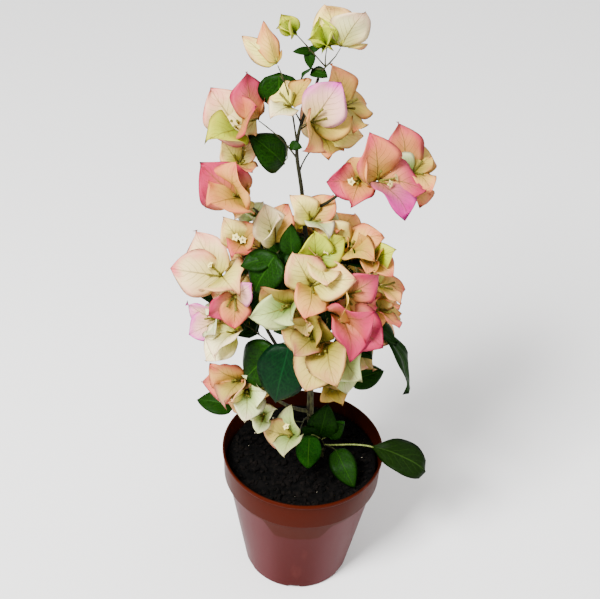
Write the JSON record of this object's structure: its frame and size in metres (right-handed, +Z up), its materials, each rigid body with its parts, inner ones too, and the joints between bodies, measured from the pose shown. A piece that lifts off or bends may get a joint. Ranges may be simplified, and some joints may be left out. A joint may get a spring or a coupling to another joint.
{
  "type": "potted bougainvillea bush",
  "caption": "Young bougainvillea in blossom with cream, peach and pink bracts and dark leaves, planted in a round red-brown nursery pot.",
  "frame": {"origin": "centre of the pot's flat underside", "axes": "+Z up along the pot's axis and the plant's height, -Y towards the viewer of the picture, +X to the viewer's right"},
  "size_m": [0.2366, 0.181, 0.6077],
  "materials": {
    "pot": "thin moulded plant-pot plastic, red-brown",
    "soil": "dark crumbly potting compost",
    "bark": "grey-green to brown young bark",
    "cream": "papery cream bracts, matt",
    "peach": "papery peach bracts, matt",
    "blush": "papery blush bracts, matt",
    "rose": "papery rose bracts, matt",
    "tan": "papery tan bracts, matt",
    "lilac": "papery lilac bracts, matt",
    "pale": "papery pale bracts, matt",
    "leaf": "dark green leaf, slight sheen",
    "freshLeaf": "fresh green leaf, slight sheen"
  },
  "bodies": {
    "root": {"pot": "pot", "soil": "soil", "main_stem": "bark", "left_cane": "bark", "right_cane": "bark", "front_cane": "bark", "back_cane": "bark", "back_left_cane": "bark", "back_right_cane": "bark", "upper_left_cane": "bark", "upper_right_cane": "bark", "left_arm": "bark", "right_arm": "bark", "low_left_cane": "bark", "basal_shoot": "bark", "top_spray": "cream", "peach_spray": "peach", "upper_front_spray": "blush", "upper_cream_spray": "cream", "upper_rose_spray": "rose", "left_fan": "blush", "left_rose_spray": "rose", "right_tan_spray": "tan", "right_spray": "lilac", "right_rose_spray": "rose", "crown_top_spray": "blush", "crown_top_right_spray": "peach", "crown_top_left_spray": "cream", "crown_left_spray": "blush", "crown_left_front_spray": "lilac", "crown_front_spray": "cream", "crown_front_left_spray": "pale", "crown_front_right_spray": "rose", "crown_right_spray": "peach", "crown_low_front_spray": "tan", "crown_low_right_spray": "pale", "low_left_spray": "pale", "low_front_spray": "cream", "left_leaves": "leaf", "front_leaves": "leaf", "right_leaves": "leaf", "basal_leaves": "freshLeaf", "right_side_spray": "peach", "back_right_spray": "blush", "back_right_low_spray": "cream", "back_spray": "peach", "back_low_spray": "tan", "back_left_spray": "blush", "back_left_low_spray": "cream", "left_side_spray": "lilac"}
  },
  "joints": []
}
